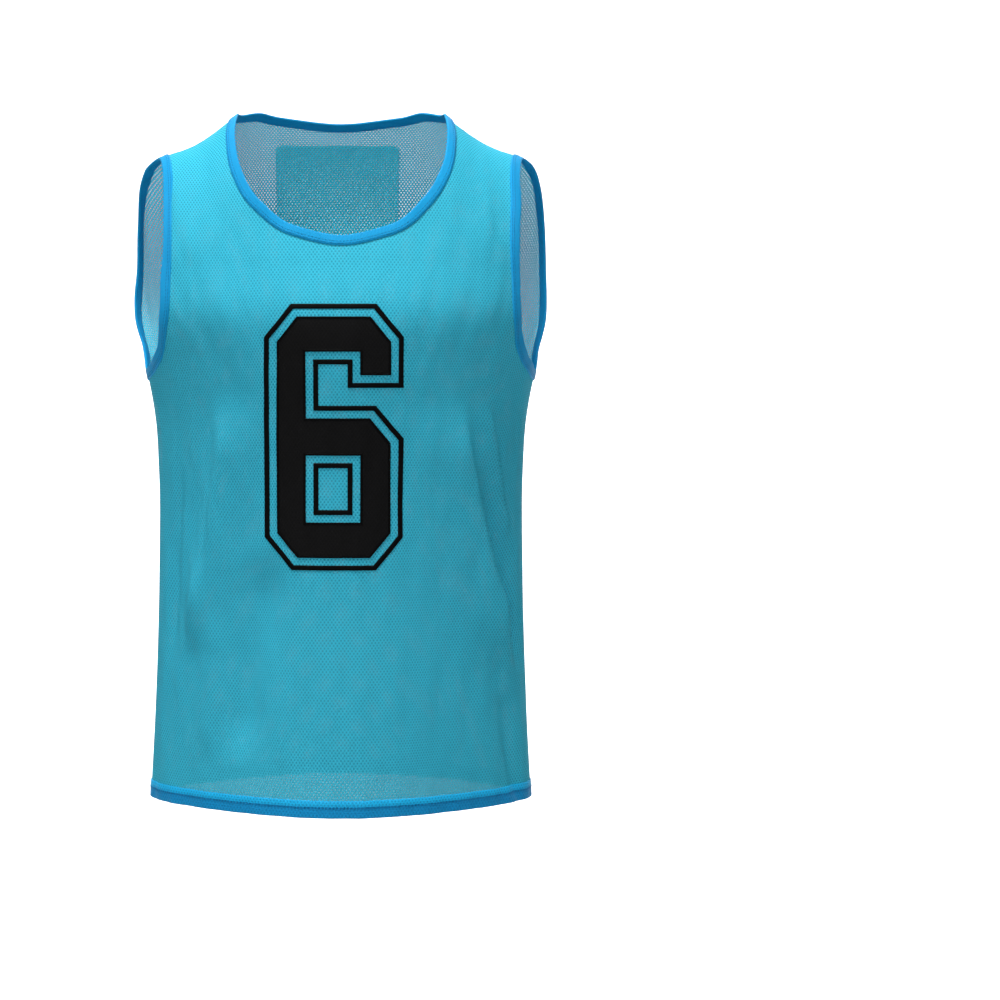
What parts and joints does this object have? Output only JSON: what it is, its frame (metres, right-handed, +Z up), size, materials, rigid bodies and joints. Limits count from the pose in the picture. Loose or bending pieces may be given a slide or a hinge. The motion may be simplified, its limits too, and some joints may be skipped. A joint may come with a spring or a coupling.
{
  "type": "mesh training bib",
  "caption": "Sleeveless pull-on sports bib of see-through net, filled out as on a wearer, with bound neck and armholes and a turned hem.",
  "frame": {"origin": "midway between the neck ends of the two shoulder seams, where the wearer's shoulders hold the bib", "axes": "+Z up, the front faces -Y, +X on the right of someone who looks at the front"},
  "size_m": [0.4162, 0.2537, 0.6848],
  "materials": {
    "net": "sky-blue polyester tricot net, soft sheen",
    "binding": "stronger blue close-knit binding tape",
    "hem": "folded blue net with a row of stitches",
    "patch": "second layer of sky-blue net"
  },
  "bodies": {
    "root": {"front_panel": "net", "back_panel": "net", "neck_binding": "binding", "armhole_binding_left": "binding", "armhole_binding_right": "binding", "hem_band": "hem", "inner_back_patch": "patch"}
  },
  "joints": []
}
